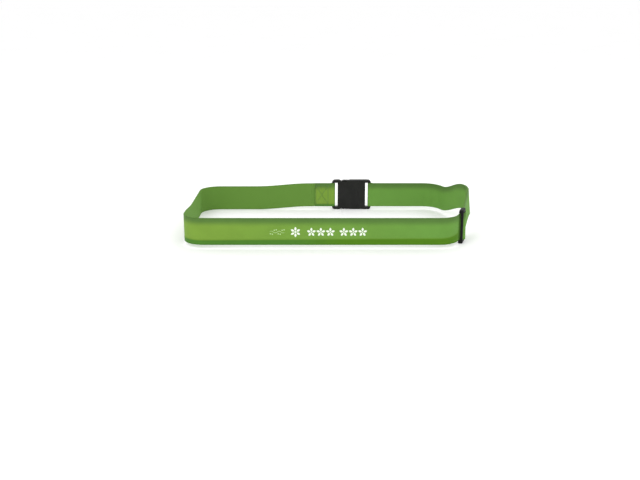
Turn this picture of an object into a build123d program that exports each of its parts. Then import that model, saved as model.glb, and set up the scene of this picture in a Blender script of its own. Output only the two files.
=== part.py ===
"""An adjustable luggage strap, buckled round an upright suitcase that is not part of it.

Flat printed webbing runs round the case. One end is sewn to the socket of a side-release buckle.
The other end passes through a tri-glide slider and round the plug's web bar, doubles back, and is
sewn to the slider's centre bar.

Row frame: the origin is at the centre of the case's section, level with the lowest point of the
buckle and slider. +X runs along the case's width, +Y from its front to its back, +Z upwards.
Lengths are in millimetres. A level is a height above the case's surface, along its outward normal.
"""

import os
from math import asin, atan2, cos, degrees, hypot, sin

from build123d import *

# The case that the strap goes round
CASE_WIDTH = 500.0
CASE_DEPTH = 300.0
CASE_CORNER = 38.0
HANDLE_RISE = 37.0  # how far the case's side handle holds the strap off the case
HANDLE_LIFT = 22.0  # and how far up it pushes the strap
HANDLE_FRONT = -4.0  # the handle's grip, from front to back
HANDLE_BACK = 24.0
HANDLE_ROUND = 30.0

# Webbing
WEBBING_WIDTH = 50.0
WEBBING_THICK = 1.3
WEBBING_LENGTH = 2000.0
LAYER_GAP = 0.2
BEND = 4.0  # centreline radius where the webbing climbs over a bar
SOCKET_HEM = 38.0  # from the bar's middle to the webbing's cut end
SLIDER_HEM = 26.0
BACK_SLOPE = 110.0  # length over which the back's lower edge sinks to the floor
LEFT_SLOPE = (-8.0, -106.0)  # Y over which the left side's lower edge rises again
HANDLE_SLOPE = (49.0, 117.0)  # distances from the front right corner
REAR_SLOPE = (6.0, 98.0)  # distances from the back right corner

# Buckle and slider, which share one height
HARDWARE_HEIGHT = 63.0
SLOT_HEIGHT = 51.5
BUCKLE_BOTTOM = 0.4  # levels of the buckle's two faces
BUCKLE_TOP = 12.4
WALL = 2.0
BAR_WIDTH = 5.0  # web bars of the buckle's two halves
BAR_THICK = 4.2
WEB_SLOT = 7.0
PLUG_BASE = 14.0
SOCKET_BODY = 42.0
SIDE_WALL = 3.5
WINDOW = (19.0, 38.0)  # the side openings that the latch arms show in
MATING_GAP = 0.3
ARM_ROOT = (-2.0, 23.5)  # the line that a latch arm turns about
ARM_ROOT_RADIUS = 2.5
ARM_LEVELS = (2.9, 9.9)

SLIDER_LENGTH = 28.0
SLIDER_BAR = 4.5
SLIDER_TOP = 8.6
SLIDER_BOTTOM = 0.3
SLIDER_BAR_LEVEL = 4.6
CENTRE_BAR = 5.0
CENTRE_BAR_THICK = 2.6
SLIDER_FROM_CORNER = 18.5
ARCH_LEVEL = 11.3  # the outer layer arches loosely over the centre bar, between the outer bars
ARCH_TOP = (-3.3, 1.0)  # distances from the centre bar's middle
ARCH_RISE = 8.0  # lengths of its two slopes along the strap
ARCH_FALL = 6.0

# Thread
THREAD_WIDE = 0.9
THREAD_HIGH = 0.28
THREAD_CLEAR = 0.02
STITCH_HEIGHT = 40.0
SOCKET_STITCH = (11.0, 37.0)  # distances from the bar's middle
SLIDER_STITCH = (9.0, 25.0)

# Worked out from the sizes above
HALF_WIDTH = CASE_WIDTH / 2
HALF_DEPTH = CASE_DEPTH / 2
MIDDLE_Z = HARDWARE_HEIGHT / 2
RAISED_Z = (HARDWARE_HEIGHT - WEBBING_WIDTH) / 2
HALF_THICK = WEBBING_THICK / 2
LAYER = WEBBING_THICK + LAYER_GAP
FIRST, SECOND, THIRD = (HALF_THICK + LAYER * n for n in range(3))  # centreline levels
BAR_LOW = LAYER
BAR_RADIUS = BAR_THICK / 2
OVER_BAR = BAR_LOW + BAR_THICK + LAYER_GAP + HALF_THICK
OVER_CENTRE_BAR = LAYER + CENTRE_BAR_THICK + LAYER_GAP + HALF_THICK
PLUG_BAR = -(PLUG_BASE + 1 + WEB_SLOT + BAR_WIDTH / 2)  # from the mating line, along the buckle
SOCKET_BAR = SOCKET_BODY + 1 + WEB_SLOT + BAR_WIDTH / 2


def tangent_direction(start, centre, radius, side):
    """Unit direction from start that touches the circle, passing it on one side."""
    dx, dy = centre[0] - start[0], centre[1] - start[1]
    angle = atan2(dy, dx) + side * asin(radius / hypot(dx, dy))
    return cos(angle), sin(angle)


def crossing(point, direction, level_y):
    """The point of a line at a given Y."""
    return point[0] + direction[0] * (level_y - point[1]) / direction[1], level_y


GRIP_FRONT = (HALF_WIDTH + HANDLE_RISE, HANDLE_FRONT)
GRIP_BACK = (HALF_WIDTH + HANDLE_RISE, HANDLE_BACK)
FRONT_CENTRE = (HALF_WIDTH - CASE_CORNER, -HALF_DEPTH + CASE_CORNER)
BACK_CENTRE = (HALF_WIDTH - CASE_CORNER, HALF_DEPTH - CASE_CORNER)
TO_FRONT = tangent_direction(GRIP_FRONT, FRONT_CENTRE, CASE_CORNER, 1)
TO_BACK = tangent_direction(GRIP_BACK, BACK_CENTRE, CASE_CORNER, -1)
SIDE_ALONG = (-TO_FRONT[0], -TO_FRONT[1])  # from the front corner towards the handle
SIDE_OUT = (SIDE_ALONG[1], -SIDE_ALONG[0])
REAR_ALONG = (-TO_BACK[0], -TO_BACK[1])  # from the back corner towards the handle
REAR_OUT = (-REAR_ALONG[1], REAR_ALONG[0])

# Corners of the case's line, in order from the back left, seen from above
CASE_LINE = [
    (-HALF_WIDTH, HALF_DEPTH),
    (-HALF_WIDTH, -HALF_DEPTH),
    crossing(GRIP_FRONT, TO_FRONT, -HALF_DEPTH),
    GRIP_FRONT,
    GRIP_BACK,
    crossing(GRIP_BACK, TO_BACK, HALF_DEPTH),
]
CASE_RADII = [CASE_CORNER] * 3 + [HANDLE_ROUND] * 2 + [CASE_CORNER]
BACK_LEFT, FRONT_LEFT, FRONT_RIGHT, *GRIP, BACK_RIGHT = range(len(CASE_LINE))


def turn(number, level):
    """(point, radius) of a corner of the case's line, for a centreline at a level above it."""
    before, here, after = (CASE_LINE[(number + k) % len(CASE_LINE)] for k in (-1, 0, 1))
    a = Vector(here[0] - before[0], here[1] - before[1]).normalized()
    b = Vector(after[0] - here[0], after[1] - here[1]).normalized()
    outward = (Vector(a.Y, -a.X) + Vector(b.Y, -b.X)).normalized()
    mitre = level / outward.dot(Vector(a.Y, -a.X))
    point = (here[0] + outward.X * mitre, here[1] + outward.Y * mitre)
    return point, CASE_RADII[number] + level


def side(along, level):
    """A point between the front right corner and the handle: distance from the corner, level."""
    reach = CASE_CORNER + level
    return tuple(c + along * d + reach * n for c, d, n in zip(FRONT_CENTRE, SIDE_ALONG, SIDE_OUT))


def rear(along, level):
    """A point between the back right corner and the handle: distance from the corner, level."""
    reach = CASE_CORNER + level
    return tuple(c + along * d + reach * n for c, d, n in zip(BACK_CENTRE, REAR_ALONG, REAR_OUT))


def back(x, level):
    return x, HALF_DEPTH + level


def left(y, level):
    return -HALF_WIDTH - level, y


def socket_end_route(mate):
    """From the hem's cut end, round the socket's bar and past the hem along the back."""
    bar = mate - SOCKET_BAR
    fold = bar + BAR_WIDTH / 2 - BAR_RADIUS + (OVER_BAR - FIRST) / 2
    radius = (OVER_BAR - FIRST) / 2 * 0.98
    hem_end = bar - SOCKET_HEM
    return [
        (back(hem_end, FIRST), 0),
        (back(fold, FIRST), radius),
        (back(fold, OVER_BAR), radius),
        (back(bar - 2, OVER_BAR), BEND),
        (back(bar - 2 - (OVER_BAR - SECOND), SECOND), BEND),
        (back(hem_end - 1, SECOND), BEND),
        (back(hem_end - 6, FIRST), BEND),
        (back(hem_end - 12, FIRST), 0),
    ]


def floor_route(mate):
    """The stretch that lies on the floor, round the back left corner."""
    start = mate - SOCKET_BAR - SOCKET_HEM - 12 - BACK_SLOPE
    return [(back(start, FIRST), 0), turn(BACK_LEFT, FIRST), (left(LEFT_SLOPE[0], FIRST), 0)]


def front_route():
    """From the left side, across the front, over the slider's centre bar and past its hem."""
    arch_start, arch_end = (SLIDER_FROM_CORNER + distance for distance in ARCH_TOP)
    hem_end = SLIDER_FROM_CORNER + SLIDER_HEM
    return [
        (left(LEFT_SLOPE[1], FIRST), 0),
        turn(FRONT_LEFT, FIRST),
        turn(FRONT_RIGHT, FIRST),
        (side(arch_start - ARCH_RISE, FIRST), BEND),
        (side(arch_start, ARCH_LEVEL), BEND),
        (side(arch_end, ARCH_LEVEL), BEND),
        (side(arch_end + ARCH_FALL, THIRD), BEND - LAYER),
        (side(hem_end, THIRD), BEND),
        (side(hem_end + 3.5, SECOND), BEND),
        (side(HANDLE_SLOPE[0], SECOND), 0),
    ]


def handle_route(level):
    """Over the case's handle, from the slider's side to the back."""
    grips = [turn(number, level) for number in GRIP]
    return [(side(HANDLE_SLOPE[1], level), 0), *grips, (rear(REAR_SLOPE[1], level), 0)]


def plug_route(mate):
    """The outer layer from the side to the plug's bar, and the inner layer back again."""
    bar = mate - PLUG_BAR
    fold = bar - BAR_WIDTH / 2 + BAR_RADIUS - (OVER_BAR - FIRST) / 2
    radius = (OVER_BAR - FIRST) / 2 * 0.98
    return [
        (rear(REAR_SLOPE[0], SECOND), 0),
        turn(BACK_RIGHT, SECOND),
        (back(bar + 2 + OVER_BAR - SECOND, SECOND), BEND),
        (back(bar + 2, OVER_BAR), BEND),
        (back(fold, OVER_BAR), radius),
        (back(fold, FIRST), radius),
        turn(BACK_RIGHT, FIRST),
        (rear(REAR_SLOPE[0], FIRST), 0),
    ]


def slider_end_route():
    """The inner layer's end, round the slider's centre bar to its hem's cut end."""
    centre = SLIDER_FROM_CORNER
    eye = centre - CENTRE_BAR / 2 + CENTRE_BAR_THICK / 2 - (OVER_CENTRE_BAR - FIRST) / 2
    radius = (OVER_CENTRE_BAR - FIRST) / 2 * 0.98
    past_bar = centre + CENTRE_BAR / 2 - 0.3
    return [
        (side(HANDLE_SLOPE[0], FIRST), 0),
        (side(eye, FIRST), radius),
        (side(eye, OVER_CENTRE_BAR), radius),
        (side(past_bar, OVER_CENTRE_BAR), BEND - LAYER),
        (side(past_bar + OVER_CENTRE_BAR - SECOND, SECOND), BEND),
        (side(centre + SLIDER_HEM, SECOND), 0),
    ]


def level_stretches(mate):
    """The webbing from end to end: (route, height of its lower edge). Slopes join them."""
    raised = RAISED_Z + HANDLE_LIFT
    return [
        (socket_end_route(mate), RAISED_Z),
        (floor_route(mate), 0),
        (front_route(), RAISED_Z),
        (handle_route(SECOND), raised),
        (plug_route(mate), RAISED_Z),
        (handle_route(FIRST)[::-1], raised),
        (slider_end_route(), RAISED_Z),
    ]


def slopes(mate):
    """(start, end, lower edge at the start, lower edge at the end) of each slope, in order."""
    stretches = level_stretches(mate)
    return [
        (before[-1][0], after[0][0], before_z, after_z)
        for (before, before_z), (after, after_z) in zip(stretches, stretches[1:])
    ]


def centreline(route):
    points = [point for point, _ in route]
    return FilletPolyline(*points, radius=[radius for _, radius in route[1:-1]])


def ribbon(route, lower_edge):
    """Webbing on edge along a route, with its lower edge at a height."""
    sides = [[], []]
    for edge in centreline(route).edges():
        for rail, reach in zip(sides, (HALF_THICK, -HALF_THICK)):
            ends = []
            for share in (0, 0.5, 1):
                along = edge.tangent_at(share)
                ends.append(edge.position_at(share) + Vector(-along.Y, along.X) * reach)
            if rail:
                ends[0] = rail[-1] @ 1
            straight = edge.geom_type == GeomType.LINE
            rail.append(Line(ends[0], ends[2]) if straight else ThreePointArc(*ends))
    caps = [Line(sides[0][end] @ at, sides[1][end] @ at) for end, at in ((0, 0), (-1, 1))]
    outline = Wire([*sides[0], *sides[1], *caps])
    return Pos(0, 0, lower_edge) * extrude(Face(outline), WEBBING_WIDTH, dir=(0, 0, 1))


def slope_edge(start, end, start_z, end_z):
    """The lower edge of a slope, as length along it and height."""
    length = hypot(end[0] - start[0], end[1] - start[1])
    middle = (length / 2, (start_z + end_z) / 2)
    return Spline((0, start_z), middle, (length, end_z), tangents=((1, 0), (1, 0)))


def slope(start, end, start_z, end_z):
    """Straight webbing on edge that climbs or sinks smoothly from one point to another."""
    low = slope_edge(start, end, start_z, end_z)
    high = Pos(0, WEBBING_WIDTH) * low
    outline = Wire([low, high, Line(low @ 0, high @ 0), Line(low @ 1, high @ 1)])
    along = Vector(end[0] - start[0], end[1] - start[1]).normalized()
    upright = Plane((*start, 0), x_dir=along, z_dir=(along.Y, -along.X, 0))
    return extrude(upright * Face(outline), HALF_THICK, both=True)


def total_length(mate):
    level = sum(centreline(route).length for route, _ in level_stretches(mate))
    return level + sum(slope_edge(*ends).length for ends in slopes(mate))


def strap_webbing(mate):
    solids = [ribbon(route, lower_edge) for route, lower_edge in level_stretches(mate)]
    solids += [slope(*ends) for ends in slopes(mate)]
    return solids[0].fuse(*solids[1:])


def slab(sketch, low, high):
    """A sketch of length and width as a solid between two levels."""
    return extrude(Plane.XZ.offset(-low) * sketch, -(high - low))


def block(along, level, width):
    """A box from three (low, high) pairs: along the strap, level, and across it."""
    sizes = [pair[1] - pair[0] for pair in (along, level, width)]
    middles = [(pair[0] + pair[1]) / 2 for pair in (along, level, width)]
    return Pos(*middles) * Box(*sizes)


def rounded_bar(along, low, thick, wide, length):
    """A bar across the strap, with a rounded section."""
    section = Pos(along, low + thick / 2) * RectangleRounded(wide, thick, thick * 0.495)
    return Pos(0, 0, -length / 2) * extrude(section, length)


def half_shell(inner, outer, end_round):
    """The buckle's outer form from one distance along it to another, with its edges eased."""
    length, half = outer - inner, HARDWARE_HEIGHT / 2
    form = slab(
        Pos((inner + outer) / 2, 0) * Rectangle(length, HARDWARE_HEIGHT), BUCKLE_BOTTOM, BUCKLE_TOP
    )
    ends = form.edges().filter_by(Axis.Y).group_by(Axis.X)[-1]
    form = fillet(ends, end_round)
    faces = form.faces().filter_by(Axis.Y)
    rims = [e for f in faces for e in f.edges() if e.center().X > inner + 0.5]
    form = fillet(rims, 1.6)
    slope = Polyline(
        (outer - 14, BUCKLE_TOP), (outer + 1, BUCKLE_TOP + 1), (outer + 1, 7.4), close=True
    )
    wedge = Pos(0, 0, -half) * extrude(make_face(slope), HARDWARE_HEIGHT)
    form -= wedge
    slot_start = outer - BAR_WIDTH - WEB_SLOT
    reach = (-SLOT_HEIGHT / 2, SLOT_HEIGHT / 2)
    form -= block((slot_start, outer + 1), (-1, BUCKLE_TOP + 1), reach)
    return form + rounded_bar(
        outer - BAR_WIDTH / 2, BAR_LOW, BAR_THICK, BAR_WIDTH, SLOT_HEIGHT + SIDE_WALL
    )


def buckle_socket():
    """The female half: a hollow housing with side windows and a web bar."""
    half = HARDWARE_HEIGHT / 2
    low, high = BUCKLE_BOTTOM + WALL, BUCKLE_TOP - WALL
    body = half_shell(0, SOCKET_BODY + 1 + WEB_SLOT + BAR_WIDTH, 6)
    body -= block((-1, SOCKET_BODY - 1), (low, high), (-half + SIDE_WALL, half - SIDE_WALL))
    scallop = 18.0
    for sign in (1, -1):
        centre = Pos(sum(WINDOW) / 2, sign * (half - 4 + scallop))
        body -= slab(centre * Circle(scallop), -1, BUCKLE_TOP + 1)
        window = sorted((sign * (half - 6), sign * (half + 1)))
        body -= block(WINDOW, (low, high), window)
    for sign in (1, -1):
        rail = sorted((sign * 6.2, sign * 7.6))
        body += block((4, SOCKET_BODY - 1), (low, low + 1.6), rail)
        body += block((4, SOCKET_BODY - 1), (high - 1.6, high), rail)
    return body


def buckle_plug():
    """The male half without its latch arms: a base with a web bar and a guide tongue."""
    outer = PLUG_BASE + 1 + WEB_SLOT + BAR_WIDTH
    body = Rot(0, 180, 0) * half_shell(MATING_GAP, outer, 6)
    for sign in (1, -1):
        root = Pos(ARM_ROOT[0], sign * ARM_ROOT[1])
        pocket = root * Circle(ARM_ROOT_RADIUS + 0.1)
        mouth = Pos(0, sign * ARM_ROOT[1]) * Rectangle(-2 * ARM_ROOT[0], 4.4)
        levels = (ARM_LEVELS[0] - 0.2, ARM_LEVELS[1] + 0.2)
        body -= slab(pocket, *levels) + slab(mouth, *levels)
    tongue = Pos(16, 0) * RectangleRounded(36, 10, 2.4) - Pos(22, 0) * SlotOverall(16, 4)
    body += slab(tongue, 4.4, 8.4)
    for groove in range(3):
        x = -4.5 - groove * 3.2
        body -= block((x - 0.6, x + 0.6), (BUCKLE_TOP - 0.5, BUCKLE_TOP + 1), (-18, 18))
    return body


def latch_arm(sign):
    """One springy latch arm, with its root in the plug and its pad in the socket's window."""
    x, w = ARM_ROOT
    outline = [
        (x, w + 1.6), (9, w + 2.6), (19.4, w + 3.2), (19.4, 31.1), (32, 31.2), (37.2, 27.2),
        (38.6, 25.2), (38.2, 23), (35, 21.4), (24, 20.6), (15, w - 0.6), (6, w - 1.5), (x, w - 1.6),
    ]
    form = make_face(Polyline(*outline, close=True))
    sharp = [v for v in form.vertices() if v.X > 1]
    form = fillet(sharp, 0.7)
    form = form + Pos(x, w) * Circle(ARM_ROOT_RADIUS)
    arm = slab(form, *ARM_LEVELS)
    for rib in range(4):
        arm -= Pos(22.5 + rib * 2.6, sum(ARM_LEVELS) / 2, 31.3) * Box(0.9, 8, 0.8)
    return arm if sign > 0 else mirror(arm, Plane.XY)


def tri_glide():
    """A three-bar slider: two outer bars and a lower centre bar between deep side rails."""
    outline = RectangleRounded(SLIDER_LENGTH, HARDWARE_HEIGHT, 4.5)
    frame = slab(outline, SLIDER_BOTTOM, SLIDER_TOP)
    frame = fillet(frame.faces().filter_by(Axis.Y).edges(), 2.2)
    inside = SLIDER_LENGTH / 2 - SLIDER_BAR
    reach = (-SLOT_HEIGHT / 2, SLOT_HEIGHT / 2)
    frame -= block((-inside, inside), (-1, SLIDER_TOP + 1), reach)
    frame -= block((-SLIDER_LENGTH, SLIDER_LENGTH), (-1, SLIDER_BAR_LEVEL), reach)
    return frame + rounded_bar(0, LAYER, CENTRE_BAR_THICK, CENTRE_BAR, SLOT_HEIGHT + 2)


def box_stitch(start, end, low):
    """A sewn box with a cross in it, lying on the webbing from a level up."""
    length = end - start
    box = Rectangle(length, STITCH_HEIGHT)
    box -= Rectangle(length - 2 * THREAD_WIDE, STITCH_HEIGHT - 2 * THREAD_WIDE)
    slant = hypot(length, STITCH_HEIGHT) - 2 * THREAD_WIDE
    angle = degrees(atan2(STITCH_HEIGHT, length))
    for sign in (1, -1):
        box += Rot(0, 0, sign * angle) * Rectangle(slant, THREAD_WIDE)
    return slab(Pos((start + end) / 2, 0) * box, low, low + THREAD_HIGH)


def socket_stitching():
    ends = [SOCKET_BAR + distance for distance in SOCKET_STITCH]
    outer = box_stitch(*ends, SECOND + HALF_THICK + THREAD_CLEAR)
    inner = box_stitch(*ends, -THREAD_HIGH - THREAD_CLEAR)
    return Compound([*outer.solids(), *inner.solids()])


def slider_stitching():
    return box_stitch(*SLIDER_STITCH, -THREAD_HIGH - THREAD_CLEAR)


def main():
    mate = 30.0
    mate -= WEBBING_LENGTH - total_length(mate)  # moving the buckle left lengthens the doubled part
    print(f"mating line at x {mate:.3f}, webbing length {total_length(mate):.3f}")
    print(f"slider moves along {SIDE_ALONG[0]:.6f}, {SIDE_ALONG[1]:.6f}")

    buckle = Plane((mate, HALF_DEPTH, MIDDLE_Z), x_dir=(-1, 0, 0), z_dir=(0, 0, -1)).location
    centre = side(SLIDER_FROM_CORNER, 0)
    slider = Plane((*centre, MIDDLE_Z), x_dir=(*SIDE_ALONG, 0), z_dir=(0, 0, -1)).location

    parts = {
        "strap_webbing": strap_webbing(mate),
        "buckle_socket": buckle * buckle_socket(),
        "buckle_plug": buckle * buckle_plug(),
        "latch_arm_top": buckle * latch_arm(-1),
        "latch_arm_bottom": buckle * latch_arm(1),
        "tri_glide_slider": slider * tri_glide(),
        "socket_end_stitching": buckle * socket_stitching(),
        "slider_end_stitching": slider * slider_stitching(),
    }
    os.makedirs("parts", exist_ok=True)
    for name, shape in parts.items():
        export_step(shape, f"parts/{name}.step")


main()
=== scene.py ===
"""Looks of the luggage strap: woven printed webbing, thread, and black acetal hardware.

Lengths are in millimetres until they are turned into metres with MM. The route of the webbing repeats the
CAD's, so that the looks lie where its solids are."""

import math

import bmesh
import bpy
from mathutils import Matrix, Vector


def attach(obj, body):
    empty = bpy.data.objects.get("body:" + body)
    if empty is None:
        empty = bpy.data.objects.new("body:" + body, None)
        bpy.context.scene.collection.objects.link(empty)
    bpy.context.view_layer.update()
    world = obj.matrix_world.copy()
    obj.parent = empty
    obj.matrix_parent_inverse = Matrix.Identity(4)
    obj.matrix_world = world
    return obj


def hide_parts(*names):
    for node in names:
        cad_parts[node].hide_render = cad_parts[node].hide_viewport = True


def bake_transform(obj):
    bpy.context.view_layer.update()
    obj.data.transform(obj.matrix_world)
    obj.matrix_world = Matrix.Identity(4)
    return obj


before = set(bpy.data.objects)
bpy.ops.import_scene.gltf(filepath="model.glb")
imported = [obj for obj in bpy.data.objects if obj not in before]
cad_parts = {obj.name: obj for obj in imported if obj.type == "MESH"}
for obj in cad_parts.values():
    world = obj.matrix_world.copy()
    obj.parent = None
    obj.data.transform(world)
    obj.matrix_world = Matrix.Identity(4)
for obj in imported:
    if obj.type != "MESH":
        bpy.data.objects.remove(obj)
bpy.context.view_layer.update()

MM = 0.001

# ---------------------------------------------------------------- sizes of the strap, in millimetres
CASE_WIDTH, CASE_DEPTH, CASE_CORNER = 500.0, 300.0, 38.0
HANDLE_RISE, HANDLE_LIFT, HANDLE_FRONT, HANDLE_BACK, HANDLE_ROUND = 37.0, 22.0, -4.0, 24.0, 30.0
WIDTH, THICK, GAP, BEND = 50.0, 1.3, 0.2, 4.0
SOCKET_HEM, SLIDER_HEM, BACK_SLOPE = 38.0, 26.0, 110.0
LEFT_SLOPE, HANDLE_SLOPE, REAR_SLOPE = (-8.0, -106.0), (49.0, 117.0), (6.0, 98.0)
HARDWARE_HEIGHT = 63.0
BAR_WIDTH, BAR_THICK = 5.0, 4.2
CENTRE_BAR, CENTRE_BAR_THICK, SLIDER_FROM_CORNER = 5.0, 2.6, 18.5
ARCH_LEVEL, ARCH_TOP, ARCH_RISE, ARCH_FALL = 11.3, (-3.3, 1.0), 8.0, 6.0
MATE = 78.048
SOCKET_BAR_X, PLUG_BAR_X = MATE - 52.5, MATE + 24.5

HALF_W, HALF_D = CASE_WIDTH / 2, CASE_DEPTH / 2
RAISED = (HARDWARE_HEIGHT - WIDTH) / 2
MIDDLE = RAISED + WIDTH / 2
FOLD_SHARE = 0.98  # share of a fold's half height that its corners' radius takes
BEND_FROM_BAR = 2.0  # from a web bar's middle to where the webbing comes down beside it
SOCKET_STEP = (1.0, 6.0, 12.0)  # from the socket's hem end to the points of the step down past it
SLIDER_STEP = 3.5  # length of the step down past the slider's hem end
CENTRE_TRIM = 0.3
LAYER = THICK + GAP
FIRST, SECOND, THIRD = (THICK / 2 + LAYER * n for n in range(3))
OVER_BAR = LAYER + BAR_THICK + GAP + THICK / 2
OVER_CENTRE = LAYER + CENTRE_BAR_THICK + GAP + THICK / 2


# ---------------------------------------------------------------- the case's line, seen from above
def v2(x, y):
    return Vector((x, y))


def tangent_direction(start, centre, radius, hand):
    d = centre - start
    angle = math.atan2(d.y, d.x) + hand * math.asin(radius / d.length)
    return v2(math.cos(angle), math.sin(angle))


GRIP_FRONT, GRIP_BACK = v2(HALF_W + HANDLE_RISE, HANDLE_FRONT), v2(HALF_W + HANDLE_RISE, HANDLE_BACK)
FRONT_CENTRE = v2(HALF_W - CASE_CORNER, -HALF_D + CASE_CORNER)
BACK_CENTRE = v2(HALF_W - CASE_CORNER, HALF_D - CASE_CORNER)
TO_FRONT = tangent_direction(GRIP_FRONT, FRONT_CENTRE, CASE_CORNER, 1)
TO_BACK = tangent_direction(GRIP_BACK, BACK_CENTRE, CASE_CORNER, -1)
SIDE_ALONG, REAR_ALONG = -TO_FRONT, -TO_BACK
SIDE_OUT, REAR_OUT = v2(SIDE_ALONG.y, -SIDE_ALONG.x), v2(-REAR_ALONG.y, REAR_ALONG.x)


def crossing(point, direction, y):
    return point + direction * ((y - point.y) / direction.y)


CASE_LINE = [
    v2(-HALF_W, HALF_D), v2(-HALF_W, -HALF_D), crossing(GRIP_FRONT, TO_FRONT, -HALF_D),
    GRIP_FRONT, GRIP_BACK, crossing(GRIP_BACK, TO_BACK, HALF_D),
]
CASE_RADII = [CASE_CORNER] * 3 + [HANDLE_ROUND] * 2 + [CASE_CORNER]
BACK_LEFT, FRONT_LEFT, FRONT_RIGHT, GRIP_A, GRIP_B, BACK_RIGHT = range(6)


def turn(number, level):
    before, here, after = (CASE_LINE[(number + k) % 6] for k in (-1, 0, 1))
    a, b = (here - before).normalized(), (after - here).normalized()
    out_a, out_b = v2(a.y, -a.x), v2(b.y, -b.x)
    outward = (out_a + out_b).normalized()
    return here + outward * (level / outward.dot(out_a)), CASE_RADII[number] + level


def side(along, level):
    return FRONT_CENTRE + SIDE_ALONG * along + SIDE_OUT * (CASE_CORNER + level)


def rear(along, level):
    return BACK_CENTRE + REAR_ALONG * along + REAR_OUT * (CASE_CORNER + level)


def back(x, level):
    return v2(x, HALF_D + level)


def left(y, level):
    return v2(-HALF_W - level, y)


# ---------------------------------------------------------------- the webbing's route from end to end
def routes():
    """Level stretches of the webbing, as (name, points with corner radii, height of the lower edge)."""
    bar = SOCKET_BAR_X
    fold = bar + BAR_WIDTH / 2 - BAR_THICK / 2 + (OVER_BAR - FIRST) / 2
    r = (OVER_BAR - FIRST) / 2 * FOLD_SHARE
    hem = bar - SOCKET_HEM
    step_start, step_end, level_from = (hem - distance for distance in SOCKET_STEP)
    socket_end = [
        (back(hem, FIRST), 0), (back(fold, FIRST), r), (back(fold, OVER_BAR), r),
        (back(bar - BEND_FROM_BAR, OVER_BAR), BEND),
        (back(bar - BEND_FROM_BAR - (OVER_BAR - SECOND), SECOND), BEND),
        (back(step_start, SECOND), BEND), (back(step_end, FIRST), BEND), (back(level_from, FIRST), 0),
    ]
    floor_run = [
        (back(level_from - BACK_SLOPE, FIRST), 0), turn(BACK_LEFT, FIRST), (left(LEFT_SLOPE[0], FIRST), 0),
    ]
    centre = SLIDER_FROM_CORNER
    arch_start, arch_end = (centre + distance for distance in ARCH_TOP)
    hem_end = centre + SLIDER_HEM
    front_run = [
        (left(LEFT_SLOPE[1], FIRST), 0), turn(FRONT_LEFT, FIRST), turn(FRONT_RIGHT, FIRST),
        (side(arch_start - ARCH_RISE, FIRST), BEND), (side(arch_start, ARCH_LEVEL), BEND),
        (side(arch_end, ARCH_LEVEL), BEND), (side(arch_end + ARCH_FALL, THIRD), BEND - LAYER),
        (side(hem_end, THIRD), BEND), (side(hem_end + SLIDER_STEP, SECOND), BEND),
        (side(HANDLE_SLOPE[0], SECOND), 0),
    ]

    def handle(level):
        return [
            (side(HANDLE_SLOPE[1], level), 0), turn(GRIP_A, level), turn(GRIP_B, level),
            (rear(REAR_SLOPE[1], level), 0),
        ]

    bar = PLUG_BAR_X
    fold = bar - BAR_WIDTH / 2 + BAR_THICK / 2 - (OVER_BAR - FIRST) / 2
    plug_run = [
        (rear(REAR_SLOPE[0], SECOND), 0), turn(BACK_RIGHT, SECOND),
        (back(bar + BEND_FROM_BAR + OVER_BAR - SECOND, SECOND), BEND),
        (back(bar + BEND_FROM_BAR, OVER_BAR), BEND),
        (back(fold, OVER_BAR), r), (back(fold, FIRST), r),
        turn(BACK_RIGHT, FIRST), (rear(REAR_SLOPE[0], FIRST), 0),
    ]
    eye = centre - CENTRE_BAR / 2 + CENTRE_BAR_THICK / 2 - (OVER_CENTRE - FIRST) / 2
    er = (OVER_CENTRE - FIRST) / 2 * FOLD_SHARE
    past_bar = centre + CENTRE_BAR / 2 - CENTRE_TRIM
    slider_end = [
        (side(HANDLE_SLOPE[0], FIRST), 0), (side(eye, FIRST), er), (side(eye, OVER_CENTRE), er),
        (side(past_bar, OVER_CENTRE), BEND - LAYER),
        (side(past_bar + OVER_CENTRE - SECOND, SECOND), BEND),
        (side(hem_end, SECOND), 0),
    ]
    up = RAISED + HANDLE_LIFT
    return [
        ("socket_end", socket_end, RAISED), ("floor_run", floor_run, 0.0),
        ("front_run", front_run, RAISED), ("over_handle", handle(SECOND), up),
        ("plug_run", plug_run, RAISED), ("under_handle", handle(FIRST)[::-1], up),
        ("slider_end", slider_end, RAISED),
    ]


STEP, ARC_STEP, SLOPE_STEPS = 5.0, math.radians(6), 24  # how closely the route is sampled


def straight(a, b):
    """Points from a towards b, with a and without b."""
    length = (b - a).length
    n = max(1, math.ceil(length / STEP))
    return [a.lerp(b, k / n) for k in range(n)] if length > 1e-6 else []


def rounded(route):
    """Points along a route of straight runs and arcs, about a STEP apart."""
    points, here = [], route[0][0]
    for (before, _), (corner, radius), (after, _) in zip(route, route[1:], route[2:]):
        a, b = (corner - before).normalized(), (after - corner).normalized()
        bend = a.angle_signed(b) if (a - b).length > 1e-6 else 0.0
        reach = radius * math.tan(abs(bend) / 2)
        start = corner - a * reach
        points += straight(here, start)
        hand = -1 if bend > 0 else 1  # angle_signed counts clockwise as positive
        centre = start + v2(-a.y, a.x) * radius * hand
        arm = start - centre
        n = max(3, math.ceil(abs(bend) / ARC_STEP), math.ceil(abs(bend) * radius / STEP))
        for k in range(n):
            t = hand * abs(bend) * k / n
            points.append(centre + v2(arm.x * math.cos(t) - arm.y * math.sin(t),
                                      arm.x * math.sin(t) + arm.y * math.cos(t)))
        here = corner + b * reach
    points += straight(here, route[-1][0])
    points.append(route[-1][0])
    return points


def smooth(t):
    t = max(0.0, min(1.0, t))
    return t * t * (3 - 2 * t)


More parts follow.
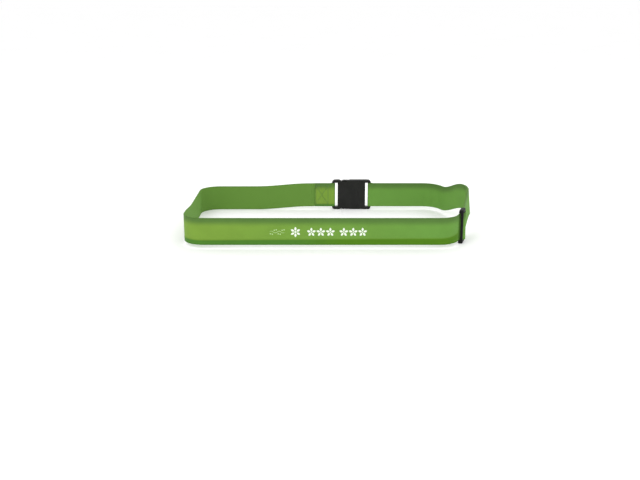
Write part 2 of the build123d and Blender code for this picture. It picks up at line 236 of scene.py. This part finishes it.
def lay_out():
    """Every sample of the webbing in order: (place, height, distance along it), and named distances."""
    samples, marks = [], {}
    for name, route, height in routes():
        points = rounded(route)
        if samples:
            last, last_height = samples[-1]
            for k in range(1, SLOPE_STEPS):
                t = k / SLOPE_STEPS
                samples.append((last.lerp(points[0], t), last_height + (height - last_height) * smooth(t)))
        marks[name] = len(samples)
        samples += [(p, height) for p in points]
        marks[name + "_end"] = len(samples) - 1
    out, s = [], 0.0
    for n, (p, z) in enumerate(samples):
        if n:
            q, w = samples[n - 1]
            s += math.hypot((p - q).length, z - w)
        out.append((p, z, s))
    return out, marks


SAMPLES, MARKS = lay_out()


def nearest(place, low, high):
    """Number of the sample nearest to a place, among those from low to high."""
    return min(range(low, high + 1), key=lambda n: (SAMPLES[n][0] - place).length)


# Where one piece of webbing hands over to the next, each on a stretch that moves as one
CUT_REAR = 52.0
CUT_LEFT = MARKS["floor_run_end"]
CUT_SLIDER = nearest(
    side(SLIDER_FROM_CORNER + ARCH_TOP[1], ARCH_LEVEL), MARKS["front_run"], MARKS["front_run_end"]
)
CUT_OUTER = nearest(rear(CUT_REAR, SECOND), MARKS["over_handle_end"], MARKS["plug_run"])
CUT_INNER = nearest(rear(CUT_REAR, FIRST), MARKS["plug_run_end"], MARKS["under_handle"])
TURN_BACK = nearest(back(PLUG_BAR_X - 4, (OVER_BAR + FIRST) / 2), MARKS["plug_run"], MARKS["plug_run_end"])
FRONT_ZERO = SAMPLES[nearest(v2(0, -HALF_D - FIRST), MARKS["front_run"], MARKS["front_run_end"])]
S_FRONT = FRONT_ZERO[2] - FRONT_ZERO[0].x  # distance along the webbing at the middle of the front


# ---------------------------------------------------------------- webbing mesh
# The section, as (height from the middle, distance from the centreline): round selvedges with grooves inside
EDGE = [(25.0, 0.0), (24.93, 0.32), (24.7, 0.55), (24.3, 0.68), (23.8, 0.67), (23.35, 0.58), (22.8, 0.65)]
ACROSS = [17.5, 12.5, 7.5, 2.5]
FACE = [(-v, h) for v, h in EDGE] + [(-v, 0.65) for v in ACROSS]
FACE += [(v, 0.65) for v in reversed(ACROSS)] + [(v, h) for v, h in reversed(EDGE)]
SECTION = FACE + [(v, -h) for v, h in reversed(FACE[1:-1])]


LEAN_START, LEAN_REACH, LEAN_IN, LEAN_TILT = 6.0, 30.0, 1.6, 4.6
RIPPLE_SLOW, RIPPLE_QUICK = 0.10, 0.05


def lean(place, v):
    """How far the handle's round shape tips the webbing, outwards from the case."""
    near = smooth((place.x - (HALF_W + LEAN_START)) / LEAN_REACH)
    return near * (-LEAN_IN - LEAN_TILT * (v / WIDTH))


def ripple(place, z):
    """Slight unevenness of webbing under tension, the same for all layers at a place."""
    slow = math.sin(place.x * 0.031 + 1.7 * math.sin(place.y * 0.013)) * math.sin(place.y * 0.027 + 0.6)
    quick = math.sin(place.x * 0.083 + place.y * 0.061 + z * 0.05)
    return RIPPLE_SLOW * slow + RIPPLE_QUICK * quick


def pushed(place, z, v):
    """How far a point of the webbing stands out from the plain route."""
    return lean(place, v) + ripple(place, z)


def spot(number, v, h):
    """The point of a sample at a height v from the webbing's middle and h from its centreline."""
    number = max(0, min(number, len(SAMPLES) - 1))
    place, low, _ = SAMPLES[number]
    ahead = SAMPLES[min(number + 1, len(SAMPLES) - 1)][0] - SAMPLES[max(number - 1, 0)][0]
    printed = v2(ahead.y, -ahead.x).normalized()
    z = low + WIDTH / 2 + v
    out = pushed(place, z, v) * (1 if number <= TURN_BACK else -1)
    here = place + printed * (h + out)
    return Vector((here.x, here.y, z)) * MM


FRONT_FACE, BACK_FACE, END_FACE = range(3)  # slots of the webbing's materials


def ribbon(name, first, last):
    """Webbing from one sample to another, as a closed band with soft selvedges.
    Normals come from the whole strap's surface, so that two pieces meet without a visible seam."""
    verts, normals, faces, kinds, uvs = [], [], [], [], []
    size = len(SECTION)
    for n in range(first, last + 1):
        for c, (v, h) in enumerate(SECTION):
            verts.append(spot(n, v, h))
            along = spot(n + 1, v, h) - spot(n - 1, v, h)
            across = spot(n, *SECTION[(c + 1) % size]) - spot(n, *SECTION[c - 1])
            normals.append(along.cross(across).normalized())
    rows = last - first
    for r in range(rows):
        for c in range(size):
            d = (c + 1) % size
            faces.append((r * size + c, (r + 1) * size + c, (r + 1) * size + d, r * size + d))
            kinds.append(FRONT_FACE if c < len(FACE) - 1 else BACK_FACE)
    faces += [tuple(range(size)), tuple(rows * size + c for c in reversed(range(size)))]
    kinds += [END_FACE, END_FACE]
    mesh = bpy.data.meshes.new(name)
    mesh.from_pydata(verts, [], faces)
    for material in (PRINT, REVERSE_SIDE, CUT):
        mesh.materials.append(material)
    layer = mesh.uv_layers.new(name="UVMap")
    shown = []
    for polygon, kind in zip(mesh.polygons, kinds):
        polygon.material_index = kind
        polygon.use_smooth = kind != END_FACE
        for corner in polygon.loop_indices:
            r, c = divmod(mesh.loops[corner].vertex_index, size)
            layer.data[corner].uv = (SAMPLES[first + r][2] * MM, (SECTION[c][0] + WIDTH / 2) * MM)
            shown.append(polygon.normal.copy() if kind == END_FACE else normals[r * size + c])
    mesh.normals_split_custom_set(shown)
    obj = bpy.data.objects.new(name, mesh)
    bpy.context.scene.collection.objects.link(obj)
    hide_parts("strap_webbing")
    return obj


# ---------------------------------------------------------------- materials
class Graph:
    """Short names for building a material's nodes."""

    def __init__(self, name):
        self.material = bpy.data.materials.new(name)
        self.material.use_nodes = True
        self.tree = self.material.node_tree
        self.tree.nodes.clear()
        self.shader = self.tree.nodes.new("ShaderNodeBsdfPrincipled")
        output = self.tree.nodes.new("ShaderNodeOutputMaterial")
        self.tree.links.new(self.shader.outputs[0], output.inputs[0])

    def link(self, value, socket):
        if isinstance(value, (int, float)):
            socket.default_value = value
        elif isinstance(value, tuple):
            is_colour = len(value) == 3 and len(socket.default_value) == 4
            socket.default_value = (*value, 1.0) if is_colour else value
        else:
            self.tree.links.new(value, socket)

    def math(self, operation, a, b=0.0, c=0.0):
        node = self.tree.nodes.new("ShaderNodeMath")
        node.operation = operation
        for value, socket in zip((a, b, c), node.inputs):
            self.link(value, socket)
        return node.outputs[0]

    def mix(self, share, a, b, blend="MIX"):
        node = self.tree.nodes.new("ShaderNodeMix")
        node.data_type, node.blend_type = "RGBA", blend
        self.link(share, node.inputs[0])
        self.link(a, node.inputs[6])
        self.link(b, node.inputs[7])
        return node.outputs[2]

    def between(self, value, low, high, to_low=0.0, to_high=1.0, kind="SMOOTHSTEP"):
        node = self.tree.nodes.new("ShaderNodeMapRange")
        node.interpolation_type = kind
        for v, socket in zip((value, low, high, to_low, to_high), node.inputs):
            self.link(v, socket)
        return node.outputs[0]

    def uv(self):
        node = self.tree.nodes.new("ShaderNodeUVMap")
        node.uv_map = "UVMap"
        split = self.tree.nodes.new("ShaderNodeSeparateXYZ")
        self.link(node.outputs[0], split.inputs[0])
        return split.outputs[0], split.outputs[1]

    def place(self):
        return self.tree.nodes.new("ShaderNodeTexCoord").outputs["Object"]

    def noise(self, vector, scale, detail=3.0, rough=0.55):
        node = self.tree.nodes.new("ShaderNodeTexNoise")
        self.link(vector, node.inputs["Vector"])
        node.inputs["Scale"].default_value = scale
        node.inputs["Detail"].default_value = detail
        node.inputs["Roughness"].default_value = rough
        return node.outputs[0]

    def combine(self, x, y, z=0.0):
        node = self.tree.nodes.new("ShaderNodeCombineXYZ")
        for value, socket in zip((x, y, z), node.inputs):
            self.link(value, socket)
        return node.outputs[0]

    def edges(self, radius):
        """1 on sharp edges and 0 away from them."""
        rounded_off = self.tree.nodes.new("ShaderNodeBevel")
        rounded_off.samples = 6
        rounded_off.inputs["Radius"].default_value = radius
        plain = self.tree.nodes.new("ShaderNodeNewGeometry").outputs["Normal"]
        dot = self.tree.nodes.new("ShaderNodeVectorMath")
        dot.operation = "DOT_PRODUCT"
        self.link(rounded_off.outputs[0], dot.inputs[0])
        self.link(plain, dot.inputs[1])
        return self.between(dot.outputs["Value"], 0.985, 0.80)

    def bump(self, height, strength, distance):
        node = self.tree.nodes.new("ShaderNodeBump")
        node.inputs["Strength"].default_value = strength
        node.inputs["Distance"].default_value = distance
        self.link(height, node.inputs["Height"])
        self.link(node.outputs[0], self.shader.inputs["Normal"])

    def set(self, **values):
        for name, value in values.items():
            self.link(value, self.shader.inputs[name.replace("_", " ")])


WARP, WEFT = 0.90, 1.02  # spacing of the yarns along the strap and of those across it


def weave(g, u, v):
    """Height of a warp-faced plain weave, from 0 in the gaps to 1 on the crowns of the yarns."""
    drift = g.combine(g.math("MULTIPLY", u, 45.0), g.math("MULTIPLY", v, 60.0))
    drift = g.between(g.noise(drift, 1.0, 2.0), 0.3, 0.7, -0.45, 0.45, "LINEAR")
    a = g.math("MULTIPLY", g.math("ADD", g.math("DIVIDE", u, WEFT * MM), drift), math.pi)
    b = g.math("MULTIPLY", g.math("DIVIDE", v, WARP * MM), math.pi)
    wave_a, wave_b = g.math("SINE", a), g.math("SINE", b)
    crown = g.math("MULTIPLY_ADD", g.math("MULTIPLY", wave_a, g.math("SIGN", wave_b)), 0.5, 0.5)
    warp = g.math("MULTIPLY", g.math("POWER", g.math("ABSOLUTE", wave_b), 0.55),
                  g.math("MULTIPLY_ADD", g.math("POWER", crown, 0.6), 0.62, 0.38))
    weft = g.math("MULTIPLY", g.math("POWER", g.math("ABSOLUTE", wave_a), 0.7),
                  g.math("MULTIPLY_ADD", crown, -0.6, 0.6))
    return g.math("MAXIMUM", warp, weft)


def yarn_noise(g, u, v):
    """Filaments: fine streaks that run along the yarns with a slight twist."""
    across = g.math("ADD", g.math("MULTIPLY", v, 3600.0), g.math("MULTIPLY", u, 700.0))
    return g.noise(g.combine(g.math("MULTIPLY", u, 420.0), across), 1.0, 3.0)


LIGHT_LEFT, LIGHT_RIGHT = (0.187, 0.325, 0.044), (0.134, 0.298, 0.052)
# Colour of the painted shade along the top edge
TOP_PAINTED_SHADE_COLOUR = (0.084, 0.176, 0.038)
DARK_LEFT, DARK_RIGHT = (0.070, 0.198, 0.024), (0.076, 0.198, 0.008)
OLIVE = (0.115, 0.225, 0.018)
REVERSE = (0.128, 0.262, 0.044)
SHEEN = (0.42, 0.85, 0.22)


# Where the print and the painted shade along the top edge change, in metres: x along the front from its
# middle, v up from the lower edge
TOP_PAINTED_SHADE_RANGE = (0.0330, 0.0462)
BAND_HEIGHT, BAND_SLOPE, BAND_BEND, BAND_RISE = 0.0103, 0.0067, 0.215, 3.0
FOOT_DROP, FOOT_BEND, FOOT_RISE = 0.003, 0.236, 3.6
BAND_ENDS = (0.2500, 0.2690)
GROOVE = 0.02335  # the selvedge's groove, from the webbing's middle


def squared_past(g, x, start, factor):
    """Factor times the square of how far x is past a start, and 0 before it."""
    past = g.math("MAXIMUM", g.math("SUBTRACT", x, start), 0.0)
    return g.math("MULTIPLY", g.math("MULTIPLY", past, past), factor)


def print_and_painted_shade(g, u, v):
    """Colour of the printed face: light along the middle and yellower towards the left end, with painted
    shade that darkens it towards the top edge, and a printed dark band that sweeps up at its right end and
    stops beneath the slider."""
    x = g.math("SUBTRACT", u, S_FRONT * MM)  # 0 at the middle of the front
    # Lighter and yellower towards the left end of the front, cooler towards the right
    colour = g.mix(g.between(x, -0.26, 0.25), LIGHT_LEFT, LIGHT_RIGHT)
    # Painted shade: darker towards the top edge, where the rounded selvedge turns away from the light
    colour = g.mix(g.math("MULTIPLY", g.between(v, *TOP_PAINTED_SHADE_RANGE), 0.95), colour, TOP_PAINTED_SHADE_COLOUR)
    band = g.math("MULTIPLY_ADD", x, BAND_SLOPE, BAND_HEIGHT)
    band = g.math("ADD", band, squared_past(g, x, BAND_BEND, BAND_RISE))
    depth = g.math("SUBTRACT", band, v)
    foot = g.math("SUBTRACT", v, g.math("SUBTRACT", squared_past(g, x, FOOT_BEND, FOOT_RISE), FOOT_DROP))
    above_foot = g.between(foot, -0.0014, 0.0014)
    before_bar = g.between(x, *BAND_ENDS, 1.0, 0.0)
    rim = g.math("MULTIPLY", g.math("MULTIPLY", g.between(depth, -0.0036, 0.0004), above_foot), before_bar)
    colour = g.mix(g.math("MULTIPLY", rim, 0.55), colour, OLIVE)
    inside = g.math("MULTIPLY", g.between(depth, -0.0012, 0.0016), above_foot)
    inside = g.math("MULTIPLY", inside, before_bar)
    return g.mix(inside, colour, g.mix(g.between(x, -0.06, 0.05), DARK_LEFT, DARK_RIGHT))


def selvedge(g, v):
    """Painted shade in the groove that sets the selvedge's thick outer yarns apart from the rest."""
    from_middle = g.math("ABSOLUTE", g.math("SUBTRACT", v, WIDTH / 2 * MM))
    from_groove = g.math("ABSOLUTE", g.math("SUBTRACT", from_middle, GROOVE))
    return g.between(from_groove, 0.0001, 0.0006, 0.80, 1.0)


def printed_face():
    """The printed side of the webbing."""
    g = Graph("webbing_print")
    u, v = g.uv()
    height = weave(g, u, v)
    fibres = yarn_noise(g, u, v)
    # Painted shade and light of the weave: darker in the gaps between the yarns, a little lighter on their
    # crowns
    yarns = g.between(height, 0.1, 0.9, 0.78, 1.05)
    shade = g.math("MULTIPLY", yarns, g.between(fibres, 0.3, 0.7, 0.93, 1.06))
    blotch = g.between(g.noise(g.place(), 38.0, 2.0), 0.3, 0.7, 0.97, 1.03)
    # Random blotches of tone, and painted shade in the selvedge's groove
    shade = g.math("MULTIPLY", g.math("MULTIPLY", shade, blotch), selvedge(g, v))
    colour = g.mix(1.0, print_and_painted_shade(g, u, v), g.combine(shade, shade, shade), "MULTIPLY")
    g.set(Base_Color=colour, Roughness=g.between(fibres, 0.3, 0.7, 0.58, 0.72), Sheen_Weight=0.10,
          Sheen_Roughness=0.45, Sheen_Tint=SHEEN, Specular_IOR_Level=0.10)
    g.bump(g.math("ADD", height, g.math("MULTIPLY", fibres, 0.35)), 0.55, 0.00022)
    return g.material


def reverse_face():
    """The unprinted reverse, dyed in one green."""
    g = Graph("webbing_reverse")
    u, v = g.uv()
    height = weave(g, u, v)
    fibres = yarn_noise(g, u, v)
    # Painted shade and light of the weave: darker in the gaps between the yarns, a little lighter on their
    # crowns
    yarns = g.between(height, 0.1, 0.9, 0.72, 1.06)
    shade = g.math("MULTIPLY", yarns, g.between(fibres, 0.3, 0.7, 0.90, 1.07))
    # Painted shade in the selvedge's groove
    shade = g.math("MULTIPLY", shade, selvedge(g, v))
    colour = g.mix(1.0, REVERSE, g.combine(shade, shade, shade), "MULTIPLY")
    g.set(Base_Color=colour, Roughness=g.between(fibres, 0.3, 0.7, 0.66, 0.80), Sheen_Weight=0.14,
          Sheen_Roughness=0.5, Sheen_Tint=SHEEN, Specular_IOR_Level=0.10)
    g.bump(g.math("ADD", height, g.math("MULTIPLY", fibres, 0.5)), 0.7, 0.00026)
    return g.material


def cut_end():
    """The heat-sealed end of the webbing, melted hard and a little darker."""
    g = Graph("webbing_cut_end")
    grain = g.noise(g.place(), 900.0, 3.0)
    colour = g.mix(g.between(grain, 0.35, 0.65), (0.030, 0.085, 0.018), (0.075, 0.170, 0.035))
    g.set(Base_Color=colour, Roughness=g.between(grain, 0.3, 0.7, 0.30, 0.50))
    g.bump(grain, 0.6, 0.0003)
    return g.material


def thread():
    """Twisted polyester thread."""
    g = Graph("thread")
    u, v = g.uv()
    twist = g.math("SINE", g.math("ADD", g.math("MULTIPLY", u, 5200.0), g.math("MULTIPLY", v, 9.0)))
    # Painted shade and light of the twist: darker in the grooves between the plies, lighter on their crowns
    colour = g.mix(g.between(twist, -1.0, 1.0), (0.048, 0.125, 0.026), (0.110, 0.250, 0.055))
    g.set(Base_Color=colour, Roughness=g.between(twist, -1.0, 1.0, 0.42, 0.55), Sheen_Weight=0.15)
    g.bump(twist, 0.6, 0.00012)
    return g.material


def acetal(name, base, scuffed, gloss, shine):
    """Black moulded acetal: fine spark-eroded grain, a faint flow pattern, light scuffs and rubbed edges."""
    g = Graph(name)
    at = g.place()
    grain = g.noise(at, 2600.0, 2.0, 0.6)
    flow = g.noise(at, 55.0, 3.0)
    scratch_map = g.tree.nodes.new("ShaderNodeMapping")
    scratch_map.inputs["Rotation"].default_value = (0.4, 0.9, 0.5)
    scratch_map.inputs["Scale"].default_value = (60.0, 900.0, 240.0)
    g.link(at, scratch_map.inputs["Vector"])
    scratches = g.between(g.noise(scratch_map.outputs[0], 1.0, 3.0), 0.66, 0.74)
    worn = g.math("MULTIPLY", scratches, g.between(flow, 0.45, 0.65))
    colour = g.mix(g.math("MULTIPLY", worn, 0.6), base, scuffed)
    colour = g.mix(g.between(flow, 0.35, 0.65, 0.0, 0.30), colour, scuffed)
    rubbed = g.math("MULTIPLY", g.edges(0.0005), g.between(g.noise(at, 240.0, 4.0), 0.38, 0.66, 0.15, 1.0))
    colour = g.mix(g.math("MULTIPLY", rubbed, 0.85), colour, (0.048, 0.048, 0.046))
    rough = g.math("ADD", g.between(grain, 0.3, 0.7, gloss, gloss + 0.10), g.math("MULTIPLY", worn, 0.15))
    rough = g.math("SUBTRACT", rough, g.math("MULTIPLY", rubbed, 0.10))
    g.set(Base_Color=colour, Roughness=rough, Specular_IOR_Level=shine)
    g.bump(g.math("ADD", grain, g.math("MULTIPLY", scratches, -0.4)), 0.30, 0.00006)
    return g.material


def ink(name, colour, worn):
    """Print on the webbing, thin enough for the weave to show through."""
    g = Graph(name)
    u, v = g.uv()
    height = weave(g, u, v)
    fibres = yarn_noise(g, u, v)
    gaps = g.between(height, 0.15, 0.65, 1.0, 0.0)
    thin = g.math("MULTIPLY", gaps, g.between(fibres, 0.35, 0.65, 0.4, 1.0))
    shown = g.mix(g.math("MULTIPLY", thin, 0.55), colour, worn)
    g.set(Base_Color=shown, Roughness=g.between(fibres, 0.3, 0.7, 0.5, 0.62), Specular_IOR_Level=0.2)
    g.bump(height, 0.45, 0.00018)
    return g.material


PRINT, REVERSE_SIDE, CUT = printed_face(), reverse_face(), cut_end()
THREAD = thread()
WHITE_INK = ink("white_ink", (0.84, 0.90, 0.80), (0.40, 0.57, 0.26))
PALE_INK = ink("pale_ink", (0.47, 0.66, 0.30), (0.27, 0.46, 0.12))
BUCKLE = acetal("buckle_acetal", (0.0068, 0.0070, 0.0064), (0.019, 0.019, 0.018), 0.42, 0.22)
LATCH = acetal("latch_acetal", (0.0078, 0.0080, 0.0074), (0.022, 0.022, 0.021), 0.36, 0.24)
SLIDER = acetal("slider_acetal", (0.0058, 0.0062, 0.0048), (0.017, 0.017, 0.015), 0.55, 0.14)

# ---------------------------------------------------------------- webbing pieces
ROOT, PLUG_BODY, SLIDER_BODY = "webbing_and_socket", "plug", "slider"


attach(ribbon("webbing_back_left", 0, CUT_LEFT), ROOT)
front = ribbon("webbing_front", CUT_LEFT, CUT_SLIDER)
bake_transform(front)
outer = ribbon("webbing_outer_side", CUT_SLIDER, CUT_OUTER)
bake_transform(outer)
loop = ribbon("webbing_plug_loop", CUT_OUTER, CUT_INNER)
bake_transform(loop)
inner = ribbon("webbing_inner_side", CUT_INNER, len(SAMPLES) - 1)
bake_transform(inner)


# ---------------------------------------------------------------- stitching
PITCH, FILLED = 3.1, 0.90  # from one stitch to the next, and how much of that the thread shows
THREAD_HALF, THREAD_RISE, THREAD_TIP = (0.40, 0.24), (0.02, 0.16), 0.12
RINGS, SIDES = 7, 8
SUNK = 0.08  # how far the stitches sit in the webbing
HALF_BOX = 20.0
SOCKET_BOX, SLIDER_BOX = (37.0, 11.0), (9.0, 25.0)  # ends of each box, from the socket's bar and the slider


def stitch(bm, uv, plane, middle, ahead, half, number):
    """One grain of thread round a middle, tapered and sunk at both ends."""
    aside = v2(-ahead.y, ahead.x)
    rings = []
    for j in range(RINGS):
        t = -1 + j / 3
        girth = max(THREAD_TIP, (1 - t * t) ** 0.42)
        lift = THREAD_RISE[0] + THREAD_RISE[1] * (1 - t * t)
        ring = []
        for m in range(SIDES):
            angle = math.pi * 2 * m / SIDES
            across = THREAD_HALF[0] * girth * math.cos(angle)
            high = THREAD_HALF[1] * girth * math.sin(angle) + lift
            point = middle + ahead * (t * half) + aside * (across + 0.05 * t)
            ring.append(bm.verts.new(plane(point.x, point.y, high)))
        rings.append(ring)
    for j in range(RINGS - 1):
        for m in range(SIDES):
            w = (m + 1) % SIDES
            face = bm.faces.new((rings[j][m], rings[j][w], rings[j + 1][w], rings[j + 1][m]))
            face.smooth = True
            corners = ((j, m), (j, m + 1), (j + 1, m + 1), (j + 1, m))
            for corner, (along, around) in zip(face.loops, corners):
                corner[uv].uv = ((number * PITCH + along * 0.5) * MM, around / SIDES)
    bm.faces.new(rings[0][::-1])
    bm.faces.new(rings[-1])


def stitches(name, sewn, node, body):
    """Separate stitches along lines. sewn holds pairs of a plane, which turns (along, across, high) in
    millimetres into a place in metres, and the ((a0, c0), (a1, c1)) lines sewn on it."""
    bm = bmesh.new()
    uv = bm.loops.layers.uv.new("UVMap")
    for plane, rows in sewn:
        for (a0, c0), (a1, c1) in rows:
            line = v2(a1 - a0, c1 - c0)
            count = max(1, round(line.length / PITCH))
            half = line.length / count / 2 * FILLED
            for k in range(count):
                middle = v2(a0, c0) + line * ((k + 0.5) / count)
                stitch(bm, uv, plane, middle, line.normalized(), half, k)
    bmesh.ops.recalc_face_normals(bm, faces=bm.faces)
    mesh = bpy.data.meshes.new(name)
    bm.to_mesh(mesh)
    bm.free()
    mesh.materials.append(THREAD)
    obj = bpy.data.objects.new(name, mesh)
    bpy.context.scene.collection.objects.link(obj)
    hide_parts(node)
    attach(obj, body)
    return obj


def box_and_cross(a, b):
    half = HALF_BOX
    corners = [(a, -half), (b, -half), (b, half), (a, half)]
    lines = list(zip(corners, corners[1:] + corners[:1]))
    return lines + [((a, -half), (b, half)), ((b, -half), (a, half))]


def shifted(place, z):
    return pushed(place, z, z - MIDDLE)


def on_back(x, across, level):
    """A place on the back run, at a level out from the case."""
    z = MIDDLE + across
    return x * MM, (HALF_D + level + shifted(v2(x, HALF_D), z)) * MM, z * MM


def socket_stitches():
    outer_face = SECOND + THICK / 2 - SUNK

    def outer_plane(along, across, high):
        return on_back(along, across, outer_face + high)

    def inner_plane(along, across, high):
        return on_back(along, across, SUNK - high)

    lines = box_and_cross(*(SOCKET_BAR_X - distance for distance in SOCKET_BOX))
    sewn = [(outer_plane, lines), (inner_plane, lines)]
    stitches("socket_end_stitches", sewn, "socket_end_stitching", ROOT)


def slider_stitches():
    def plane(along, across, high):
        z = MIDDLE + across
        place = side(along, SUNK - high)
        place = place + SIDE_OUT * shifted(place, z)
        return place.x * MM, place.y * MM, z * MM

    lines = box_and_cross(*(SLIDER_FROM_CORNER + distance for distance in SLIDER_BOX))
    stitches("slider_end_stitches", [(plane, lines)], "slider_end_stitching", SLIDER_BODY)


socket_stitches()
slider_stitches()


# ---------------------------------------------------------------- printed motif
PRINT_MIDDLE, INK_THICK, INK_SUNK = MIDDLE - 0.8, 0.07, 0.02
VINE_ENDS, LARGE_FLOWER_X = (-93, -65), -46.4
SMALL_FLOWERS_X = (-17.9, -0.9, 16.1, 40.2, 57.1, 73.9)


def leaf(x, z, length, width, angle, n=9):
    """Outline of a pointed leaf, centred on a place."""
    points = []
    for k in range(2 * n):
        t = k / n if k < n else 2 - k / n
        hand = 1 if k < n else -1
        a = (t - 0.5) * length
        b = hand * width / 2 * math.sin(math.pi * t) ** 0.8
        sideways = a * math.cos(angle) - b * math.sin(angle)
        upwards = a * math.sin(angle) + b * math.cos(angle)
        points.append((x + sideways, z + upwards))
    return points


def disc(x, z, radius, n=20):
    angles = [2 * math.pi * k / n for k in range(n)]
    return [(x + radius * math.cos(angle), z + radius * math.sin(angle)) for angle in angles]


def vine(x0, x1, z):
    """Outlines of a thin wavy stem with small round berries above and below it."""
    def wave(x):
        return math.sin((x - x0) / (x1 - x0) * 4 * math.pi)

    def height(x):
        return z + 1.6 * wave(x)

    def edge(k, hand):
        x = x0 + (x1 - x0) * k / 36
        return x, height(x) + hand * 0.42 * math.sin(math.pi * k / 36) ** 0.4

    stem = [edge(k, -1) for k in range(37)] + [edge(k, 1) for k in range(35, 0, -1)]
    berries = []
    for k in range(8):
        x = x0 + (x1 - x0) * (k + 0.5) / 8
        hand = -1 if wave(x) > 0 else 1
        berries.append(disc(x, height(x) + hand * (4.4 + 0.8 * (k % 2)), 1.15, 14))
    return [stem] + berries


def blossom(x, z, petals, out, length, width, centre):
    """Outlines of a flower: a disc with petals round it."""
    outlines = [disc(x, z, centre)]
    for k in range(petals):
        angle = math.pi / 2 + k * 2 * math.pi / petals
        outlines.append(leaf(x + out * math.cos(angle), z + out * math.sin(angle), length, width, angle))
    return outlines


def motif():
    """Print on the front: a pale wavy vine and white flowers, one with six petals and six with five."""
    pale = vine(*VINE_ENDS, PRINT_MIDDLE)
    white = blossom(LARGE_FLOWER_X, PRINT_MIDDLE, 6, 5.9, 7.0, 4.0, 1.9)
    for x in SMALL_FLOWERS_X:
        white += blossom(x, PRINT_MIDDLE - 0.3, 5, 4.9, 6.6, 3.9, 1.15)
    bm = bmesh.new()
    uv = bm.loops.layers.uv.new("UVMap")
    for outline, kind in [(o, 0) for o in white] + [(o, 1) for o in pale]:
        rings = []
        for lift in (0.0, INK_THICK):
            ring = []
            for x, z in outline:
                here = v2(x, -HALF_D - FIRST)
                y = -HALF_D - THICK - lift + INK_SUNK - shifted(here, z)
                ring.append(bm.verts.new((x * MM, y * MM, z * MM)))
            rings.append(ring)
        made, n = [], len(outline)
        for k in range(n):
            j = (k + 1) % n
            made.append(bm.faces.new((rings[0][k], rings[0][j], rings[1][j], rings[1][k])))
        for ring in rings:  # strips between the outline's two sides, which end in a triangle
            for k in range(n // 2):
                corners = [ring[k], ring[k + 1], ring[n - k - 1], ring[-k]]
                made.append(bm.faces.new(list(dict.fromkeys(corners))))
        for face in made:
            face.material_index = kind
    bmesh.ops.recalc_face_normals(bm, faces=bm.faces)
    for face in bm.faces:
        for corner in face.loops:
            x, z = corner.vert.co.x / MM, corner.vert.co.z / MM
            corner[uv].uv = ((x + S_FRONT) * MM, (z - RAISED) * MM)
    mesh = bpy.data.meshes.new("printed_motif")
    bm.to_mesh(mesh)
    bm.free()
    mesh.materials.append(WHITE_INK)
    mesh.materials.append(PALE_INK)
    obj = bpy.data.objects.new("printed_motif", mesh)
    bpy.context.scene.collection.objects.link(obj)
    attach(obj, ROOT)


motif()

# ---------------------------------------------------------------- hardware keeps its CAD shape
for node, material in (
    ("buckle_socket", BUCKLE), ("buckle_plug", BUCKLE), ("latch_arm_top", LATCH),
    ("latch_arm_bottom", LATCH), ("tri_glide_slider", SLIDER),
):
    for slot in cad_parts[node].material_slots:
        slot.material = material


# ---------------------------------------------------------------- floor, lights and camera
FLOOR_RADIUS, FLOOR_GLOW, SKY = 30.0, 0.11, 1.0


def stage():
    """A pale paper floor beneath an even white sky."""
    bm = bmesh.new()
    bmesh.ops.create_circle(bm, cap_ends=True, segments=96, radius=FLOOR_RADIUS)
    mesh = bpy.data.meshes.new("floor")
    bm.to_mesh(mesh)
    bm.free()
    g = Graph("floor_paper")
    tone = g.noise(g.place(), 3.0, 2.0)
    paper = g.mix(g.between(tone, 0.3, 0.7), (0.87, 0.87, 0.87), (0.89, 0.89, 0.89))
    g.set(Base_Color=paper, Roughness=0.9, Emission_Color=(1.0, 1.0, 1.0), Emission_Strength=FLOOR_GLOW)
    mesh.materials.append(g.material)
    obj = bpy.data.objects.new("floor", mesh)
    bpy.context.scene.collection.objects.link(obj)
    world = bpy.data.worlds.new("studio")
    world.use_nodes = True
    background = world.node_tree.nodes["Background"]
    background.inputs[0].default_value = (1.0, 1.0, 1.0, 1.0)
    background.inputs[1].default_value = SKY
    bpy.context.scene.world = world


def area(name, place, target, size, power):
    """A soft rectangular light of a size in metres and a power in watts, turned to a target."""
    light = bpy.data.lights.new(name, "AREA")
    light.shape, light.size, light.size_y, light.energy = "RECTANGLE", size[0], size[1], power
    obj = bpy.data.objects.new(name, light)
    obj.location = place
    obj.rotation_euler = (Vector(target) - Vector(place)).to_track_quat("-Z", "Y").to_euler()
    bpy.context.scene.collection.objects.link(obj)


stage()
area("key", (-1.5, -2.2, 2.2), (0, 0, 0.03), (1.4, 1.0), 20)
area("fill", (1.3, -2.3, 1.5), (0.1, 0, 0.03), (1.4, 1.0), 10)
area("rim", (0.6, 2.2, 2.0), (0, 0, 0.03), (2.0, 1.0), 14)

camera = bpy.data.cameras.new("camera")
camera.lens, camera.sensor_width, camera.clip_end = 49.84, 36.0, 100.0
eye = bpy.data.objects.new("camera", camera)
target, elevation, distance = Vector((-0.00244, -0.151, 0.01582)), math.radians(15.52), 1.5904
back_off = Vector((0, -math.cos(elevation), math.sin(elevation)))
eye.location = target + back_off * distance
eye.rotation_euler = (-back_off).to_track_quat("-Z", "Y").to_euler()
bpy.context.scene.collection.objects.link(eye)
bpy.context.scene.camera = eye
bpy.context.scene.view_settings.view_transform = "Standard"
